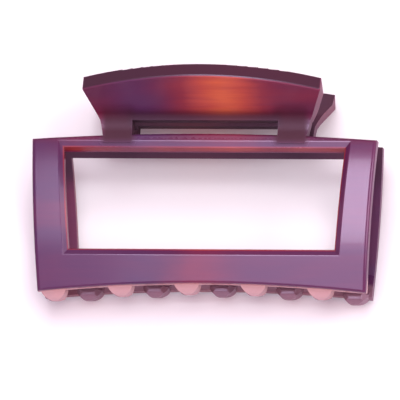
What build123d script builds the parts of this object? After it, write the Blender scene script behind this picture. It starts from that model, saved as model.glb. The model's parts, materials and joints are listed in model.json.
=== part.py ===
from math import acos, atan2, cos, degrees, hypot, pi, radians, sin, sqrt
import os

from build123d import *

# Hair claw: two equal window-frame jaws on two sprung hinges. Millimetres.
# Each jaw is drawn closed and upright: X along the clip, Y from the teeth to
# the handle (0 at the frame's top corners), Z out of the outer face (0 midway
# between the jaws). The closed clip is then laid on its back jaw, Z up.

# ---- frame of one jaw ----
frame_top_width = 90.0
frame_narrowing = 4.3        # top width to bottom width
frame_height = 39.75
frame_top_arch = 1.6         # rise of the top edge at mid width
frame_bottom_arch = 2.2      # rise of the bottom edge at mid width
face_offset = 9.6            # mid plane to the outer face at top and bottom
face_bulge = 3.6             # extra offset at mid height
wall = 4.2
outer_round = 0.9
top_bar = 1.7                # at the corners, on the outer face
bottom_bar = 10.55
side_bar_top = 8.25
side_bar_bottom = 8.15
window_bevel = 1.3
bevel_round = 0.5

# ---- handle of one jaw ----
slot_height = 5.1            # top corners up to the handle plate
slot_width = 38.0
neck_width = 52.4
neck_sink = 1.0              # depth each neck runs down into the frame
plate_base_width = 54.8
plate_tip_width = 62.0
plate_length = 13.1          # slot edge to the tip corner, along the plate
plate_arch = 5.6             # extra length at mid width
plate_flare = 59.0           # degrees away from upright
plate_bend = 3.5             # radius in the valley between neck and plate
tip_round = 0.6

# ---- teeth of one jaw ----
tooth_count = 5
tooth_end = 3.85             # last tooth's centre to the frame's end
tooth_shift = 0.2414         # of the pitch, each row's centre to the jaw's, so the two rows mesh
tooth_width = 6.8
tooth_drop = 2.3             # below the frame's bottom edge
tooth_reach = 1.3            # past the mid plane
tooth_tip = 1.8
tooth_round = 0.8

# ---- hinges ----
hinge_rise = 0.8             # pin axis above the frame's top corners
pin_diameter = 1.6
pin_running_clearance = 0.05
pin_round = 0.25
ear_radius = 2.5
ear_inset = 0.15             # ear side to the neck side
wire_diameter = 0.8
coil_clearance = 0.15        # coil to the pin
coil_turns = 2.5             # less the two leans
turn_gap = 0.04              # between neighbouring turns
arm_length = 5.5
arm_gap = 0.08               # arm's end to its neck
arm_side_clearance = 0.1     # arm to the ear beside it

# ---- values that follow ----
face_radius = ((frame_height / 2) ** 2 + face_bulge ** 2) / (2 * face_bulge)
face_axis = (-frame_height / 2, face_offset + face_bulge - face_radius)
plate_y = cos(radians(plate_flare))
plate_z = sin(radians(plate_flare))
frame_bottom_width = frame_top_width - frame_narrowing
window_top_width = frame_top_width - 2 * side_bar_top
window_bottom_width = frame_bottom_width - 2 * side_bar_bottom
window_bottom = frame_height - bottom_bar
tooth_pitch = (frame_bottom_width / 2 - tooth_end) / ((tooth_count - 1) / 2 + tooth_shift)


def along_radius(y, factor=1.0):
    """Point on the line from the face's centre of curvature to its height y."""
    z = face_axis[1] + sqrt(face_radius ** 2 - (y - face_axis[0]) ** 2)
    return (face_axis[0] + factor * (y - face_axis[0]), face_axis[1] + factor * (z - face_axis[1]))


neck_foot = along_radius(frame_top_arch)
neck_slope = (neck_foot[0] - face_axis[0]) / (neck_foot[1] - face_axis[1])
neck_end = (slot_height, neck_foot[1] - neck_slope * (slot_height - frame_top_arch))

hinge_outer = neck_width / 2 - ear_inset
hinge_inner = slot_width / 2 + ear_inset
coil_radius = (pin_diameter + wire_diameter) / 2 + coil_clearance

# each arm leans until its end meets its neck, and drifts sideways with the coil's pitch
bend_span = hypot(neck_end[0] - hinge_rise, neck_end[1])
arm_span = hypot(arm_length, coil_radius + wire_diameter / 2)
arm_lean = (atan2(neck_end[1], neck_end[0] - hinge_rise)
            - acos((arm_span ** 2 + bend_span ** 2 - (wall + arm_gap) ** 2) / (2 * arm_span * bend_span))
            - atan2(coil_radius + wire_diameter / 2, arm_length))
coil_angle = 2 * pi * coil_turns - 2 * arm_lean
coil_length = (wire_diameter + turn_gap) * coil_angle / (2 * pi)
coil_rise = coil_length / coil_angle
arm_drift = arm_length * coil_rise / hypot(coil_rise, coil_radius)
ear_thickness = (hinge_outer - hinge_inner - coil_length - wire_diameter) / 2 - arm_drift - arm_side_clearance
coil_start = hinge_inner + ear_thickness + arm_side_clearance + arm_drift + wire_diameter / 2


# ---- window cutter: tapered sides, ends square to the curved face ----
with BuildPart() as window:
    with BuildSketch(Plane.YZ):
        Polygon(
            along_radius(-top_bar, 0.7), along_radius(-top_bar, 1.3),
            along_radius(-window_bottom, 1.3), along_radius(-window_bottom, 0.7), align=None,
        )
    extrude(amount=frame_top_width / 2, both=True)
    taper = (window_top_width - window_bottom_width) / (window_bottom - top_bar)
    with BuildSketch(Plane.XY):
        Polygon(
            (-window_top_width / 2 - 5 * taper, 10 - top_bar),
            (window_top_width / 2 + 5 * taper, 10 - top_bar),
            (window_bottom_width / 2 - 5 * taper, -window_bottom - 10),
            (-window_bottom_width / 2 + 5 * taper, -window_bottom - 10), align=None,
        )
    extrude(amount=40, mode=Mode.INTERSECT)

# ---- frame: a curved slab, its rim rounded and its window bevelled ----
with BuildPart() as frame:
    with BuildSketch(Plane.YZ):
        with BuildLine():
            face = ThreePointArc(
                along_radius(-frame_height - 1), along_radius(face_axis[0]), along_radius(frame_top_arch + 1)
            )
            offset(face, amount=wall, side=Side.RIGHT)
        make_face()
    extrude(amount=frame_top_width / 2, both=True)
    with BuildSketch(Plane.XY):
        with BuildLine():
            top = ThreePointArc((-frame_top_width / 2, 0), (0, frame_top_arch), (frame_top_width / 2, 0))
            Line(top @ 1, (frame_bottom_width / 2, -frame_height))
            bottom = ThreePointArc(
                (frame_bottom_width / 2, -frame_height), (0, frame_bottom_arch - frame_height),
                (-frame_bottom_width / 2, -frame_height),
            )
            Line(bottom @ 1, top @ 0)
        make_face()
    extrude(amount=60, mode=Mode.INTERSECT)
    fillet(frame.faces().sort_by(Axis.Z)[-1].edges(), outer_round)
    add(window.part, mode=Mode.SUBTRACT)
    chamfer(frame.faces().sort_by(Axis.Z)[-1].inner_wires()[0].edges(), window_bevel)
    fillet(frame.faces().sort_by(Axis.Z)[-1].inner_wires()[0].edges(), bevel_round)

# ---- handle: two necks carrying one flared plate ----
with BuildPart() as handle:
    with BuildSketch(Plane.YZ):
        with BuildLine():
            reach = plate_length + plate_arch
            foot = ThreePointArc(along_radius(-2 * neck_sink), along_radius(-neck_sink), neck_foot)
            Line(neck_foot, neck_end)
            Line(neck_end, (neck_end[0] + reach * plate_y, neck_end[1] + reach * plate_z))
            offset(amount=wall, side=Side.RIGHT)
        make_face()
    extrude(amount=frame_top_width / 2, both=True)
    valley = handle.edges().filter_by(Axis.X).sort_by_distance((0, *neck_end))[0]
    fillet(valley, plate_bend)

    tip_y = slot_height + plate_length * plate_y
    with BuildSketch(Plane.XY):
        Polygon(
            (neck_width / 2, -neck_sink), (plate_base_width / 2, slot_height), (plate_tip_width / 2, tip_y),
            (plate_tip_width / 2, 2 * tip_y), (-plate_tip_width / 2, 2 * tip_y), (-plate_tip_width / 2, tip_y),
            (-plate_base_width / 2, slot_height), (-neck_width / 2, -neck_sink), (-slot_width / 2, -neck_sink),
            (-slot_width / 2, slot_height), (slot_width / 2, slot_height), (slot_width / 2, -neck_sink), align=None,
        )
    extrude(amount=60, mode=Mode.INTERSECT)

    # arched end, square to the plate
    with BuildSketch(Plane(origin=(0, *neck_end), x_dir=(1, 0, 0), z_dir=(0, -plate_z, plate_y))):
        with BuildLine():
            tip = ThreePointArc(
                (-plate_tip_width / 2, plate_length), (0, reach), (plate_tip_width / 2, plate_length)
            )
            Polyline(
                tip @ 1, (plate_tip_width, plate_length), (plate_tip_width, 3 * plate_length),
                (-plate_tip_width, 3 * plate_length), (-plate_tip_width, plate_length), tip @ 0,
            )
        make_face()
    extrude(amount=20, both=True, mode=Mode.SUBTRACT)
    tip_face = handle.faces().sort_by(lambda f: f.center().Y * plate_y + f.center().Z * plate_z)[-1]
    fillet(tip_face.edges(), tip_round)

# ---- one tooth, curving inward and a little down ----
inner_z = face_offset - wall
lowest = -frame_height - tooth_drop
with BuildPart() as tooth:
    with BuildSketch(Plane.YZ):
        with BuildLine():
            under = Spline(
                (-frame_height + 0.9, inner_z + 2.2), (lowest + 0.5, inner_z - 0.4),
                (lowest, inner_z / 2 - 0.4), (lowest + 1.2, -tooth_reach),
            )
            upper = Spline(
                (lowest + 1.2 + tooth_tip, -tooth_reach), (lowest + 2.8, inner_z / 2 - 0.4),
                (lowest + 5.8, inner_z + 1.0),
            )
            Line(under @ 1, upper @ 0)
            Line(upper @ 1, under @ 0)
        make_face()
    extrude(amount=tooth_width / 2, both=True)
    with BuildSketch(Plane.XZ):
        Polygon(
            (-tooth_width / 2, face_offset), (-tooth_width / 2, 2), (-tooth_width / 3.4, -tooth_reach),
            (tooth_width / 3.4, -tooth_reach), (tooth_width / 2, 2), (tooth_width / 2, face_offset), align=None,
        )
    extrude(amount=60, both=True, mode=Mode.INTERSECT)
    with BuildSketch(Plane.XY):
        with Locations((0, lowest + tooth_width / 2)):
            Circle(tooth_width / 2)
        with Locations((0, lowest + tooth_width)):
            Rectangle(tooth_width, tooth_width)
    extrude(amount=60, both=True, mode=Mode.INTERSECT)
    fillet(tooth.faces().sort_by(Axis.Z)[0].edges(), tooth_round)


def jaw(hole_diameter):
    """Whole jaw: frame, handle, teeth and its two hinge ears."""
    with BuildPart() as moulding:
        add(frame.part)
        add(handle.part)
        for i in range(tooth_count):
            x = (i - (tooth_count - 1) / 2 - tooth_shift) * tooth_pitch
            rise = frame_bottom_arch * (1 - (2 * x / frame_bottom_width) ** 2)
            with Locations((x, rise, 0)):
                add(tooth.part)
        for x in (-hinge_outer, hinge_inner):
            with BuildSketch(Plane.YZ.offset(x)):
                with Locations((hinge_rise, 0)):
                    Circle(ear_radius)
                Polygon(
                    (hinge_rise - ear_radius, 0), (0.4 - top_bar, inner_z + 1.8),
                    (slot_height - 0.8, inner_z - 1.0), (hinge_rise + ear_radius, 0), align=None,
                )
            extrude(amount=ear_thickness)
        with BuildSketch(Plane.YZ):
            with Locations((hinge_rise, 0)):
                Circle(hole_diameter / 2)
        extrude(amount=frame_top_width / 2, both=True, mode=Mode.SUBTRACT)
    return moulding.part


# ---- hinge pin, from one ear's side to the other's ----
with BuildPart() as pin:
    with BuildSketch(Plane.YZ.offset(hinge_inner)):
        with Locations((hinge_rise, 0)):
            Circle(pin_diameter / 2)
    extrude(amount=hinge_outer - hinge_inner)
    fillet(pin.edges().filter_by(GeomType.CIRCLE), pin_round)

# ---- torsion spring: coil round the pin, one arm against each jaw ----
coil_plane = Plane(
    origin=(coil_start, hinge_rise, 0), x_dir=(0, -sin(arm_lean), cos(arm_lean)), z_dir=(1, 0, 0),
)
with BuildPart() as spring:
    with BuildLine() as wire_line:
        coil = Helix(pitch=wire_diameter + turn_gap, height=coil_length, radius=coil_radius)
        Line(coil @ 0 - (coil % 0) * arm_length, coil @ 0)
        Line(coil @ 1, coil @ 1 + (coil % 1) * arm_length)
    path = wire_line.wire()
    with BuildSketch(Plane(origin=path @ 0, z_dir=path % 0)):
        Circle(wire_diameter / 2)
    sweep(path=path)
right_spring = spring.part.moved(coil_plane.location)

# ---- the closed clip, laid on the back jaw's frame and handle tip ----
turned = Location((0, 0, 0), (0, 180, 0))
bead = (neck_end[0] + (reach - tip_round) * plate_y + tip_round * plate_z,
        neck_end[1] + (reach - tip_round) * plate_z - tip_round * plate_y)
span = hypot(bead[0] - face_axis[0], bead[1] - face_axis[1])
tilt = acos((face_radius - tip_round) / span) - atan2(bead[0] - face_axis[0], bead[1] - face_axis[1])
lift = face_radius + face_axis[1] * cos(tilt) - face_axis[0] * sin(tilt)

pieces = {
    "back_jaw": jaw(pin_diameter).moved(turned),
    "front_jaw": jaw(pin_diameter + 2 * pin_running_clearance),
    "right_pin": pin.part,
    "left_pin": pin.part.moved(turned),
    "right_spring": right_spring,
    "left_spring": right_spring.moved(turned),
}
laid = Location((0, 0, lift), (degrees(tilt), 0, 0))
pieces = {name: piece.moved(laid) for name, piece in pieces.items()}
box = Compound(list(pieces.values())).bounding_box()
centred = Location((0, -box.center().Y, 0))
os.makedirs("parts", exist_ok=True)
for name, piece in pieces.items():
    piece = piece.moved(centred)
    piece.label = name
    export_step(piece, f"parts/{name}.step")
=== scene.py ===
import json
from math import cos, pi, radians, sin

import bmesh
import bpy
from mathutils import Matrix, Vector


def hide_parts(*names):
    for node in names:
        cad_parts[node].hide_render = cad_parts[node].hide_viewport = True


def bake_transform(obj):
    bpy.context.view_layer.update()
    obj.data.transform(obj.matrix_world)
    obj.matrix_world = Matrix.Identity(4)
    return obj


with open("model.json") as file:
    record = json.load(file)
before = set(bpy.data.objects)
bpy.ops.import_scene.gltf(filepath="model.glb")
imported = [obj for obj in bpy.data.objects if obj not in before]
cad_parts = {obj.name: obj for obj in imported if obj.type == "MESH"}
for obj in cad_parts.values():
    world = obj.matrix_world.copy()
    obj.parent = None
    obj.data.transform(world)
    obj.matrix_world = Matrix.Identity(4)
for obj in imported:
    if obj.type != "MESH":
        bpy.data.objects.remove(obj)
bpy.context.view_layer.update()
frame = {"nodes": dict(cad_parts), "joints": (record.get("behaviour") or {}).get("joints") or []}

# ---- The two jaws ----
# Each jaw is one injection moulding of tortoiseshell plastic, polished outside
# and satin inside: dark wine swirls round an amber cloud, with painted light on
# the teeth and walls and painted shade on the necks, the handle's end and insides.
# Both are the same moulding, half a turn apart, hung on each other by two pins.

CLIP_TILT = radians(13.7194)            # mid plane to the table
HINGE = Vector(frame["joints"][0]["pos_m"])
HINGE_RISE = 0.0008                     # hinge above the frame's top corners
ALONG_UP = Vector((0, cos(CLIP_TILT), sin(CLIP_TILT)))     # teeth to handle
ALONG_OUT = Vector((0, -sin(CLIP_TILT), cos(CLIP_TILT)))   # back jaw to front jaw
FRAME_TOP = HINGE - ALONG_UP * HINGE_RISE
FACE_RADIUS = 0.05666                   # curve of each frame's outer face
FACE_AXIS = (-0.019875, 0.04346)        # its centre: below the top, behind the mid plane
HANDLE_FLARE = radians(59)              # handle's lean outward
NECK_MIDDLE = 0.0226                    # each neck's middle, from the clip's middle
SKIN = 0.0008                           # depth of the outer skin, above the walls' painted glow
BLUSH_CENTRE, BLUSH_SPREAD = (-0.002, -0.0345, 0.0105), (0.008, 0.0065, 0.006)
AMBER_SPREAD, PLUM_SPREAD = (0.0074, 0.013, 0.013), (0.0065, 0.012, 0.012)
COOLEST, COOL, WINE = (0.058, 0.010, 0.046, 1), (0.100, 0.011, 0.040, 1), (0.150, 0.012, 0.036, 1)
RED, RUST, AMBER = (0.22, 0.018, 0.028, 1), (0.42, 0.055, 0.028, 1), (0.60, 0.115, 0.030, 1)
PLUM, NECK_PAINTED_SHADE, SHADE = (0.056, 0.017, 0.080, 1), (0.036, 0.001, 0.003, 1), (0.028, 0.004, 0.010, 1)
TEETH_PAINTED_LIGHT = (0.56, 0.34, 0.33, 1)


def clip_point(x, up, out):
    """Place in the row frame of a point given along the clip, up it and out of it."""
    return FRAME_TOP + Vector((x, 0, 0)) + ALONG_UP * up + ALONG_OUT * out


def put(tree, kind, settings=(), **inputs):
    """A new shader node, with its settings and the values of its inputs."""
    made = tree.nodes.new(kind)
    for name, value in dict(settings).items():
        setattr(made, name, value)
    for name, value in inputs.items():
        made.inputs[name.replace("_", " ")].default_value = value
    return made


def maths(tree, operation, *values):
    """A Math node; each value is a number or a socket to link."""
    made = put(tree, "ShaderNodeMath", {"operation": operation})
    for socket, value in zip(made.inputs, values):
        if isinstance(value, (int, float)):
            socket.default_value = value
        else:
            tree.links.new(value, socket)
    return made.outputs[0]


def product(tree, first, *others):
    """All the values multiplied together."""
    for other in others:
        first = maths(tree, "MULTIPLY", first, other)
    return first


def vector_maths(tree, operation, *values, out=0):
    """A Vector Math node; each value is a tuple or a socket to link."""
    made = put(tree, "ShaderNodeVectorMath", {"operation": operation})
    for socket, value in zip(made.inputs, values):
        if isinstance(value, (tuple, Vector)):
            socket.default_value = value
        else:
            tree.links.new(value, socket)
    return made.outputs[out]


def smooth_range(tree, value, low, high):
    """0 at low, 1 at high, easing between them."""
    made = put(tree, "ShaderNodeMapRange", {"interpolation_type": "SMOOTHSTEP"}, From_Min=low, From_Max=high)
    tree.links.new(value, made.inputs["Value"])
    return made.outputs["Result"]


def distance(tree, place, centre, spread):
    """How far place is from centre, counted in spreads along each axis."""
    apart = vector_maths(tree, "SUBTRACT", place, centre)
    return vector_maths(tree, "LENGTH", vector_maths(tree, "DIVIDE", apart, spread), out=1)


def mixed(tree, factor, first, second):
    """Two colours mixed; each is a colour or a socket to link."""
    made = put(tree, "ShaderNodeMix", {"data_type": "RGBA"})
    tree.links.new(factor, made.inputs["Factor"])
    for socket, colour in zip((made.inputs[6], made.inputs[7]), (first, second)):
        if isinstance(colour, tuple):
            socket.default_value = colour
        else:
            tree.links.new(colour, socket)
    return made.outputs[2]


def tortoiseshell_group():
    """Clouds of the cast plastic, with painted light and shade. Side is 1 in the front jaw and -1 in the back
    jaw.
    """
    group = bpy.data.node_groups.new("tortoiseshell", "ShaderNodeTree")
    for name, kind in (("Side", "NodeSocketFloat"), ("Amber Centre", "NodeSocketVector"),
                       ("Amber Spread", "NodeSocketVector"), ("Plum Centre", "NodeSocketVector"),
                       ("Swirl Offset", "NodeSocketVector"), ("Pale Teeth", "NodeSocketFloat")):
        group.interface.new_socket(name=name, in_out="INPUT", socket_type=kind)
    for name, kind in (("Color", "NodeSocketColor"), ("Dull", "NodeSocketFloat"),
                       ("Grain", "NodeSocketFloat")):
        group.interface.new_socket(name=name, in_out="OUTPUT", socket_type=kind)
    given = put(group, "NodeGroupInput").outputs
    result = put(group, "NodeGroupOutput").inputs
    coordinates = put(group, "ShaderNodeTexCoord").outputs
    place = coordinates["Object"]

    # x, up and out of the jaw, in metres, and how far the surface faces each way
    from_top = vector_maths(group, "SUBTRACT", place, FRAME_TOP)
    up = vector_maths(group, "DOT_PRODUCT", from_top, ALONG_UP, out=1)
    out = product(group, vector_maths(group, "DOT_PRODUCT", from_top, ALONG_OUT, out=1), given["Side"])
    x = put(group, "ShaderNodeSeparateXYZ")
    group.links.new(place, x.inputs[0])
    x = x.outputs[0]
    from_middle = maths(group, "ABSOLUTE", x)
    own = put(group, "ShaderNodeCombineXYZ")
    for socket, value in zip(own.inputs, (product(group, x, given["Side"]), up, out)):
        group.links.new(value, socket)
    own = own.outputs[0]
    facing_up = vector_maths(group, "DOT_PRODUCT", coordinates["Normal"], ALONG_UP, out=1)
    facing_out = product(group, vector_maths(
        group, "DOT_PRODUCT", coordinates["Normal"], ALONG_OUT, out=1), given["Side"])
    facing_in = smooth_range(group, facing_out, -0.1, -0.5)
    facing_tip = maths(group, "ADD", product(group, facing_up, cos(HANDLE_FLARE)),
                       product(group, facing_out, sin(HANDLE_FLARE)))

    # the parts of the jaw: handle, its end face, necks, and the slot's edge under the handle
    handle = smooth_range(group, up, 0.0040, 0.0062)
    cap = product(group, smooth_range(group, facing_tip, 0.55, 0.85), handle)
    beside = maths(group, "ABSOLUTE", maths(group, "SUBTRACT", from_middle, NECK_MIDDLE))
    neck = product(group, smooth_range(group, beside, 0.0054, 0.0030),
                   smooth_range(group, up, -0.0024, 0.0006), smooth_range(group, up, 0.0100, 0.0046))
    slot_edge = product(group, smooth_range(group, from_middle, 0.0215, 0.0180),
                        smooth_range(group, up, 0.0030, 0.0042), smooth_range(group, up, 0.0082, 0.0058), 0.9)

    # dark swirls, drawn out along the clip by the flow into the mould
    flow = vector_maths(group, "ADD", own, given["Swirl Offset"])
    swirl = put(group, "ShaderNodeTexNoise", Scale=1.0, Detail=2.0, Roughness=0.45, Distortion=0.9)
    group.links.new(vector_maths(group, "MULTIPLY", flow, (30.0, 60.0, 40.0)), swirl.inputs["Vector"])
    swirl = smooth_range(group, swirl.outputs["Fac"], 0.25, 0.75)
    streak = put(group, "ShaderNodeTexNoise", Scale=1.0, Detail=3.0, Roughness=0.6, Distortion=0.3)
    group.links.new(vector_maths(group, "MULTIPLY", flow, (60.0, 900.0, 500.0)), streak.inputs["Vector"])
    streak = maths(group, "SUBTRACT", streak.outputs["Fac"], 0.5)

    # the amber cloud on the handle, weaker over the frame
    away = distance(group, own, given["Amber Centre"], given["Amber Spread"])
    cloud = product(group, smooth_range(group, away, 2.4, -0.3), maths(group, "SUBTRACT", 1.0, cap),
                    maths(group, "MULTIPLY_ADD", streak, 0.5, 1.0),
                    maths(group, "MULTIPLY_ADD", smooth_range(group, up, 0.0005, 0.0060), 0.75, 0.25))

    # painted glow: light gathering in the frame's walls, behind the skin of the outer face, is painted into
    # their colour
    across = maths(group, "ADD", out, FACE_AXIS[1])
    along = maths(group, "SUBTRACT", up, FACE_AXIS[0])
    depth = maths(group, "SUBTRACT", FACE_RADIUS, maths(group, "SQRT", maths(
        group, "ADD", product(group, across, across), product(group, along, along))))
    wall_glow = product(group, smooth_range(group, depth, SKIN, SKIN + 0.0005),
                   smooth_range(group, depth, 0.0050, 0.0028),
                   smooth_range(group, up, 0.0012, -0.0005), smooth_range(group, from_middle, 0.0400, 0.0385))

    # from wine to amber, with the walls' painted glow and a faint blush in the middle of the bottom bar
    blush = smooth_range(group, distance(group, own, BLUSH_CENTRE, BLUSH_SPREAD), 2.0, 0.0)
    warm = maths(group, "MULTIPLY_ADD", swirl, 0.20, product(group, cloud, 0.80))
    for part, share in ((wall_glow, 0.40), (handle, 0.10), (streak, 0.10), (blush, 0.15)):
        warm = maths(group, "MULTIPLY_ADD", part, share, warm)
    ramp = put(group, "ShaderNodeValToRGB")
    stops = ramp.color_ramp.elements
    stops[0].position, stops[0].color = 0.0, COOLEST
    stops[1].position, stops[1].color = 1.0, AMBER
    for at, colour in ((0.13, COOL), (0.26, WINE), (0.45, RED), (0.72, RUST)):
        stops.new(at).color = colour
    group.links.new(warm, ramp.inputs["Fac"])

    # plum where the swirl is coolest: over the frame's face, and in one cloud on the handle
    aside = distance(group, own, given["Plum Centre"], PLUM_SPREAD)
    on_face = product(group, smooth_range(group, up, 0.0005, -0.0020),
                      maths(group, "MULTIPLY_ADD", wall_glow, -0.45, 0.45))
    plum = maths(group, "MAXIMUM", product(group, smooth_range(group, aside, 1.8, 0.2), 0.75), on_face)
    plum = product(group, plum, maths(group, "MULTIPLY_ADD", blush, -0.75, 1.0))
    colour = mixed(group, plum, ramp.outputs["Color"], PLUM)
    # painted shade: the necks, the crease between handle and frame, are darkened to near-black wine
    colour = mixed(group, product(group, neck, 0.95), colour, NECK_PAINTED_SHADE)

    # painted shade: the handle's end face, the slot's edge under the handle and the upper insides are
    # darkened to near black
    shaded = maths(group, "MAXIMUM", product(group, cap, 0.92), slot_edge)
    inside = product(group, facing_in, smooth_range(group, up, -0.012, -0.006), 0.8)
    shaded = maths(group, "MAXIMUM", shaded, inside)
    colour = mixed(group, shaded, colour, SHADE)

    # painted light on the teeth: a pale rose laid over them, strong on the front jaw and weak on the back
    # jaw's shaded teeth
    teeth = product(group, smooth_range(group, up, -0.0352, -0.0368),
                    smooth_range(group, out, 0.0086, 0.0074))
    colour = mixed(group, product(group, teeth, given["Pale Teeth"]), colour, TEETH_PAINTED_LIGHT)
    group.links.new(colour, result["Color"])

    # the insides and necks keep the mould's satin skin; the handle is a little duller than the frame
    satin = product(group, facing_in, smooth_range(group, up, -0.034, -0.030))
    satin = maths(group, "MAXIMUM", satin, maths(group, "MAXIMUM", neck, slot_edge))
    dull = maths(group, "MAXIMUM", product(group, smooth_range(group, up, -0.0006, 0.0020), 0.3), satin)
    group.links.new(dull, result["Dull"])
    grain = put(group, "ShaderNodeTexNoise", Scale=1400.0, Detail=2.0)
    group.links.new(place, grain.inputs["Vector"])
    group.links.new(grain.outputs["Fac"], result["Grain"])
    return group


TORTOISESHELL = tortoiseshell_group()


def tortoiseshell(name, side, amber_centre, amber_spread, plum_centre, swirl_offset, teeth_light_paint):
    """The polished plastic of one jaw, with its own clouds."""
    material = bpy.data.materials.new(name)
    material.use_nodes = True
    tree = material.node_tree
    plastic = tree.nodes["Principled BSDF"]
    plastic.inputs["IOR"].default_value = 1.5
    plastic.inputs["Specular IOR Level"].default_value = 0.75
    plastic.inputs["Specular Tint"].default_value = (0.88, 0.74, 1.0, 1)
    plastic.inputs["Coat Roughness"].default_value = 0.06
    clouds = put(tree, "ShaderNodeGroup", {"node_tree": TORTOISESHELL}, Side=side, Amber_Centre=amber_centre,
                 Amber_Spread=amber_spread, Plum_Centre=plum_centre, Swirl_Offset=swirl_offset,
                 Pale_Teeth=teeth_light_paint)
    tree.links.new(clouds.outputs["Color"], plastic.inputs["Base Color"])
    polish = maths(tree, "MULTIPLY_ADD", clouds.outputs["Grain"], 0.08, 0.20)
    polish = maths(tree, "ADD", polish, maths(tree, "MULTIPLY", clouds.outputs["Dull"], 0.42))
    tree.links.new(polish, plastic.inputs["Roughness"])
    coat = maths(tree, "MULTIPLY_ADD", clouds.outputs["Dull"], -0.2, 0.2)
    tree.links.new(coat, plastic.inputs["Coat Weight"])
    bump = put(tree, "ShaderNodeBump", Strength=0.05, Distance=0.0001)
    tree.links.new(clouds.outputs["Grain"], bump.inputs["Height"])
    tree.links.new(bump.outputs["Normal"], plastic.inputs["Normal"])
    return material


# the last value is how much painted light the teeth get: more on the front jaw, less on the back jaw's shaded
# teeth
for jaw, side, amber, plum, offset, pale in (
        ("front_jaw", 1.0, (0.0050, 0.0100, 0.0140), (-0.0175, 0.0085, 0.0125), (0, 0, 0), 0.9),
        ("back_jaw", -1.0, (0.004, 0.0075, 0.0125), (-0.02, 0.0085, 0.0125), (0.31, 0.12, 0.2), 0.25)):
    frame["nodes"][jaw].data.materials[0] = tortoiseshell(
        jaw + "_tortoiseshell", side, amber, AMBER_SPREAD, plum, offset, pale)

# ---- Hinge pins ----
# Two short drawn-steel pins, each pressed into the back jaw's ear and running
# in the front jaw's. Their ends show in the ears as small bright discs.


def drawn_streaks_group():
    """Fine lines left by the drawing die, closer together the larger the stretch."""
    group = bpy.data.node_groups.new("drawn_streaks", "ShaderNodeTree")
    group.interface.new_socket(name="Stretch", in_out="INPUT", socket_type="NodeSocketVector")
    group.interface.new_socket(name="Lines", in_out="OUTPUT", socket_type="NodeSocketFloat")
    stretch = put(group, "NodeGroupInput").outputs["Stretch"]
    place = put(group, "ShaderNodeTexCoord").outputs["Object"]
    lines = put(group, "ShaderNodeTexNoise", Scale=1.0, Detail=3.0)
    group.links.new(vector_maths(group, "MULTIPLY", place, stretch), lines.inputs["Vector"])
    group.links.new(lines.outputs["Fac"], put(group, "NodeGroupOutput").inputs["Lines"])
    return group


DRAWN_STREAKS = drawn_streaks_group()


def steel(name, colour, roughness, stretch):
    """Drawn steel, streaked in tint, roughness and height."""
    material = bpy.data.materials.new(name)
    material.use_nodes = True
    tree = material.node_tree
    metal = tree.nodes["Principled BSDF"]
    metal.inputs["Metallic"].default_value = 1.0
    lines = put(tree, "ShaderNodeGroup", {"node_tree": DRAWN_STREAKS}, Stretch=stretch).outputs["Lines"]
    tint = put(tree, "ShaderNodeValToRGB")
    tint.color_ramp.elements[0].color = tuple(c * 0.72 for c in colour) + (1,)
    tint.color_ramp.elements[1].color = colour + (1,)
    tree.links.new(lines, tint.inputs["Fac"])
    tree.links.new(tint.outputs["Color"], metal.inputs["Base Color"])
    tree.links.new(maths(tree, "MULTIPLY_ADD", lines, 0.22, roughness), metal.inputs["Roughness"])
    bump = put(tree, "ShaderNodeBump", Strength=0.15, Distance=0.00005)
    tree.links.new(lines, bump.inputs["Height"])
    tree.links.new(bump.outputs["Normal"], metal.inputs["Normal"])
    return material


PIN_STEEL = steel("drawn_pin_steel", (0.60, 0.59, 0.58), 0.16, (300.0, 6000.0, 6000.0))
for pin in ("right_pin", "left_pin"):
    frame["nodes"][pin].data.materials[0] = PIN_STEEL

# ---- Torsion springs ----
# Hard-drawn steel wire wound about two and a half turns round each pin. One
# straight arm leans on each jaw's neck, so squeezing the handles winds it up.

SPRING_STEEL = steel("spring_wire_steel", (0.50, 0.49, 0.48), 0.22, (2500.0, 2500.0, 2500.0))
WIRE_RADIUS, COIL_RADIUS = 0.0004, 0.00135
COIL_FIRST, COIL_LENGTH = 0.02159, 0.00202      # inner end of the coil, and its length along the pin
ARM_LEAN, ARM_LENGTH = radians(17.0), 0.0055
COIL_TURN = 2 * pi * 2.5 - 2 * ARM_LEAN
WIRE_SIDES, COIL_STEPS, ARM_STEPS = 20, 150, 14
CUT_BREAK, CUT_SIZE = 0.00005, 0.82             # length of the broken edge, and what it leaves of the radius


def coil_line():
    """Points along the right spring's wire: arm, coil, arm, as (x, up, out)."""
    first = (-sin(ARM_LEAN), cos(ARM_LEAN))
    second = (-cos(ARM_LEAN), -sin(ARM_LEAN))
    rise = COIL_LENGTH / COIL_TURN

    def on_coil(turn):
        return Vector((COIL_FIRST + rise * turn,
                       HINGE_RISE + COIL_RADIUS * (cos(turn) * first[0] + sin(turn) * second[0]),
                       COIL_RADIUS * (cos(turn) * first[1] + sin(turn) * second[1])))

    def heading(turn):
        return Vector((rise, COIL_RADIUS * (cos(turn) * second[0] - sin(turn) * first[0]),
                       COIL_RADIUS * (cos(turn) * second[1] - sin(turn) * first[1]))).normalized()

    inward = [on_coil(0) - heading(0) * ARM_LENGTH * (1 - i / ARM_STEPS) for i in range(ARM_STEPS)]
    coil = [on_coil(COIL_TURN * i / COIL_STEPS) for i in range(COIL_STEPS + 1)]
    outward = [on_coil(COIL_TURN) + heading(COIL_TURN) * ARM_LENGTH * (i + 1) / ARM_STEPS
               for i in range(ARM_STEPS)]
    return inward + coil + outward


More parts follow.
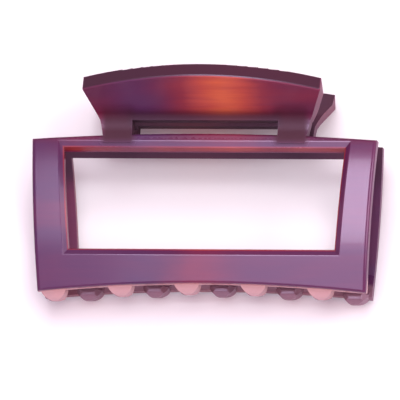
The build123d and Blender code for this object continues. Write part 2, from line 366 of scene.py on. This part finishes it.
def wire_mesh(name, points):
    """A round wire along points, its cut ends slightly broken."""
    made = bmesh.new()
    side = Vector((1, 0, 0))
    rings = []
    for i, point in enumerate(points):
        ahead = (points[min(i + 1, len(points) - 1)] - points[max(i - 1, 0)]).normalized()
        side = (side - ahead * side.dot(ahead)).normalized()
        across = ahead.cross(side)
        sizes = [(0.0, 1.0)]
        if i == 0:
            sizes = [(0.0, CUT_SIZE), (CUT_BREAK, 1.0)]
        if i == len(points) - 1:
            sizes = [(-CUT_BREAK, 1.0), (0.0, CUT_SIZE)]
        for shift, size in sizes:
            angles = [2 * pi * k / WIRE_SIDES for k in range(WIRE_SIDES)]
            rings.append([made.verts.new(
                point + ahead * shift + (side * cos(angle) + across * sin(angle)) * WIRE_RADIUS * size)
                for angle in angles])
    for low, high in zip(rings, rings[1:]):
        for k in range(WIRE_SIDES):
            after = (k + 1) % WIRE_SIDES
            made.faces.new((low[k], low[after], high[after], high[k])).smooth = True
    made.faces.new(list(reversed(rings[0])))
    made.faces.new(rings[-1])
    bmesh.ops.recalc_face_normals(made, faces=made.faces)
    mesh = bpy.data.meshes.new(name)
    made.to_mesh(mesh)
    made.free()
    return mesh


for side, name, bodies in ((1, "right_spring", ("front_half", "back_half")),
                           (-1, "left_spring", ("back_half", "front_half"))):
    line = [clip_point(side * x, up, side * out) for x, up, out in coil_line()]
    spring = bpy.data.objects.new(name + "_wire", wire_mesh(name + "_wire", line))
    bpy.context.scene.collection.objects.link(spring)
    spring.data.materials.append(SPRING_STEEL)
    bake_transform(spring)
    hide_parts(name)

# ---- Table, light and camera ----
# A plain pale table under a soft strip light, a low light at the teeth and a
# wide one at the right. The camera looks down on the front frame, a little
# from its right and from the teeth.

TABLE_HALF = 0.5
table_mesh = bpy.data.meshes.new("table_top")
table_mesh.from_pydata([(x * TABLE_HALF, y * TABLE_HALF, 0) for x, y in ((-1, -1), (1, -1), (1, 1), (-1, 1))],
                       [], [(0, 1, 2, 3)])
table_top = bpy.data.objects.new("table_top", table_mesh)
bpy.context.scene.collection.objects.link(table_top)
white = bpy.data.materials.new("white_table")
white.use_nodes = True
table_tree = white.node_tree
table_skin = table_tree.nodes["Principled BSDF"]
table_skin.inputs["Roughness"].default_value = 0.75
# painted light on the stage: the table shows darker in the clip's reflections, and glows faintly pink onto
# the clip's underside
table_skin.inputs["Emission Color"].default_value = (0.9, 0.74, 0.82, 1)
seen_by = put(table_tree, "ShaderNodeLightPath").outputs
tone = mixed(table_tree, seen_by["Is Glossy Ray"], (0.91, 0.94, 0.92, 1), (0.48, 0.38, 0.44, 1))
table_tree.links.new(tone, table_skin.inputs["Base Color"])
lift = product(table_tree, seen_by["Is Diffuse Ray"], 0.30)
table_tree.links.new(lift, table_skin.inputs["Emission Strength"])
spot = put(table_tree, "ShaderNodeTexCoord").outputs["Object"]
fade = smooth_range(table_tree, vector_maths(table_tree, "LENGTH", spot, out=1), 0.42, 0.12)
from_below = put(table_tree, "ShaderNodeNewGeometry").outputs["Backfacing"]
table_tree.links.new(maths(table_tree, "SUBTRACT", fade, from_below), table_skin.inputs["Alpha"])
table_mesh.materials.append(white)


def softbox(name, place, target, size, power, colour):
    """A square-on area light, its width kept along the clip."""
    lamp = bpy.data.lights.new(name, "AREA")
    lamp.shape = "RECTANGLE"
    lamp.size, lamp.size_y = size
    lamp.energy = power
    lamp.color = colour
    held = bpy.data.objects.new(name, lamp)
    away = (Vector(place) - Vector(target)).normalized()
    across = Vector((0, 1, 0)).cross(away).normalized()
    turned = Matrix((across, away.cross(across), away)).transposed().to_4x4()
    held.matrix_world = Matrix.Translation(place) @ turned
    bpy.context.scene.collection.objects.link(held)


softbox("strip_softbox", (0.015, 0.0, 0.55), (0.015, 0.0, 0.02), (0.22, 0.46), 2.4, (0.95, 0.92, 1.0))
softbox("low_softbox", (0.015, -0.42, 0.42), (0.015, -0.02, 0.02), (0.22, 0.46), 0.85, (0.86, 0.84, 1.0))
softbox("side_softbox", (0.60, 0.0, 0.36), (0, 0, 0.02), (0.50, 0.50), 2.7, (1.0, 0.90, 0.94))
world = bpy.data.worlds.new("studio")
world.use_nodes = True
world_tree = world.node_tree
from_camera = put(world_tree, "ShaderNodeLightPath").outputs["Is Camera Ray"]
world_tree.links.new(mixed(world_tree, from_camera, (0.62, 0.40, 0.50, 1), (1.0, 1.0, 1.0, 1)),
                     world_tree.nodes["Background"].inputs["Color"])
bpy.context.scene.world = world
bpy.context.scene.view_settings.view_transform = "Standard"

RIGHT_SWING, LOW_SWING, ROLL = radians(7.0), radians(7.12), radians(1.17)
CAMERA_DISTANCE, VIEW_WIDTH = 3.333, 0.10392
FRAME_MIDDLE, AIM_SHIFT = -0.014654, 0.00193
toward = (Vector((1, 0, 0)) * sin(RIGHT_SWING) * cos(LOW_SWING) - ALONG_UP * sin(LOW_SWING)
          + ALONG_OUT * cos(RIGHT_SWING) * cos(LOW_SWING))
level = Vector((1, 0, 0)) * cos(RIGHT_SWING) - ALONG_OUT * sin(RIGHT_SWING)
upright = toward.cross(level)
picture_right = level * cos(ROLL) + upright * sin(ROLL)
picture_up = upright * cos(ROLL) - level * sin(ROLL)
lens = bpy.data.cameras.new("camera")
lens.sensor_width = 36
lens.lens = lens.sensor_width * CAMERA_DISTANCE / VIEW_WIDTH
lens.clip_end = 20
camera = bpy.data.objects.new("camera", lens)
camera.matrix_world = Matrix.Translation(
    clip_point(0, FRAME_MIDDLE, 0) - picture_right * AIM_SHIFT + toward * CAMERA_DISTANCE
) @ Matrix((picture_right, picture_up, toward)).transposed().to_4x4()
bpy.context.scene.collection.objects.link(camera)
bpy.context.scene.camera = camera
